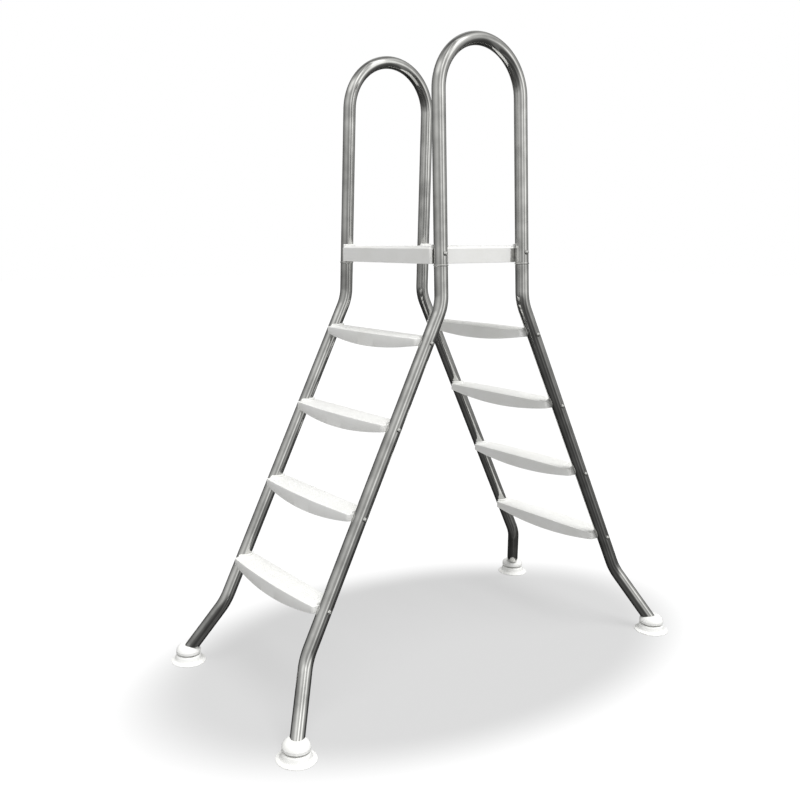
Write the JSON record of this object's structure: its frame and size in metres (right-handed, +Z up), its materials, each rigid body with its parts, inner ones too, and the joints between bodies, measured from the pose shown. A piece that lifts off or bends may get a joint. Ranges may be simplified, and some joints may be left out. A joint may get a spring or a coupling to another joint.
{
  "type": "pool ladder",
  "caption": "Free-standing stepladder that straddles a pool wall, with tube stiles, moulded steps on both sides, a platform, two handrail hoops and swivel feet.",
  "frame": {"origin": "on the ground, midway between the four feet", "axes": "+Z up; +X from the outer side across the pool wall to the pool side; +Y to the left of a person who climbs from the outer side"},
  "size_m": [1.628, 0.824, 2.0615],
  "materials": {
    "stainless_tube": "polished stainless steel",
    "bracket_steel": "pressed stainless sheet, satin",
    "bolt_steel": "bright stainless steel",
    "white_plastic": "moulded white plastic, low sheen",
    "foot_plastic": "moulded white plastic, soft"
  },
  "bodies": {
    "ladder": {"handrail_left": "stainless_tube", "handrail_right": "stainless_tube", "stile_outer_left": "stainless_tube", "stile_outer_right": "stainless_tube", "stile_pool_left": "stainless_tube", "stile_pool_right": "stainless_tube", "joint_ferrule_outer_left": "stainless_tube", "joint_ferrule_outer_right": "stainless_tube", "joint_ferrule_pool_left": "stainless_tube", "joint_ferrule_pool_right": "stainless_tube", "platform_bracket_outer_left": "bracket_steel", "platform_bracket_outer_right": "bracket_steel", "platform_bracket_pool_left": "bracket_steel", "platform_bracket_pool_right": "bracket_steel", "platform_bolt_outer_left": "bolt_steel", "platform_bolt_outer_right": "bolt_steel", "platform_bolt_pool_left": "bolt_steel", "platform_bolt_pool_right": "bolt_steel", "step_bolt_outer_1_left": "bolt_steel", "step_bolt_outer_2_left": "bolt_steel", "step_bolt_outer_3_left": "bolt_steel", "step_bolt_outer_4_left": "bolt_steel", "step_bolt_outer_1_right": "bolt_steel", "step_bolt_outer_2_right": "bolt_steel", "step_bolt_outer_3_right": "bolt_steel", "step_bolt_outer_4_right": "bolt_steel", "step_bolt_pool_1_left": "bolt_steel", "step_bolt_pool_2_left": "bolt_steel", "step_bolt_pool_3_left": "bolt_steel", "step_bolt_pool_4_left": "bolt_steel", "step_bolt_pool_1_right": "bolt_steel", "step_bolt_pool_2_right": "bolt_steel", "step_bolt_pool_3_right": "bolt_steel", "step_bolt_pool_4_right": "bolt_steel", "platform": "white_plastic", "step_outer_1": "white_plastic", "step_outer_2": "white_plastic", "step_outer_3": "white_plastic", "step_outer_4": "white_plastic", "step_pool_1": "white_plastic", "step_pool_2": "white_plastic", "step_pool_3": "white_plastic", "step_pool_4": "white_plastic", "foot_cap_outer_left": "foot_plastic", "foot_cap_outer_right": "foot_plastic", "foot_cap_pool_left": "foot_plastic", "foot_cap_pool_right": "foot_plastic"},
    "foot_outer_left": {"foot_base_outer_left": "foot_plastic"},
    "foot_outer_right": {"foot_base_outer_right": "foot_plastic"},
    "foot_pool_left": {"foot_base_pool_left": "foot_plastic"},
    "foot_pool_right": {"foot_base_pool_right": "foot_plastic"}
  },
  "joints": [
    {"name": "foot_tilt_outer_left", "type": "hinge", "parent": "ladder", "child": "foot_outer_left", "pos_m": [-0.7555, 0.3535, 0.022], "axis": [-0.7228, -0.691, 0], "range_deg": [-6, 6]},
    {"name": "foot_tilt_outer_right", "type": "hinge", "parent": "ladder", "child": "foot_outer_right", "pos_m": [-0.7555, -0.3535, 0.022], "axis": [0.7228, -0.691, 0], "range_deg": [-6, 6]},
    {"name": "foot_tilt_pool_left", "type": "hinge", "parent": "ladder", "child": "foot_pool_left", "pos_m": [0.7555, 0.3535, 0.022], "axis": [-0.7228, 0.691, 0], "range_deg": [-6, 6]},
    {"name": "foot_tilt_pool_right", "type": "hinge", "parent": "ladder", "child": "foot_pool_right", "pos_m": [0.7555, -0.3535, 0.022], "axis": [0.7228, 0.691, 0], "range_deg": [-6, 6]}
  ]
}
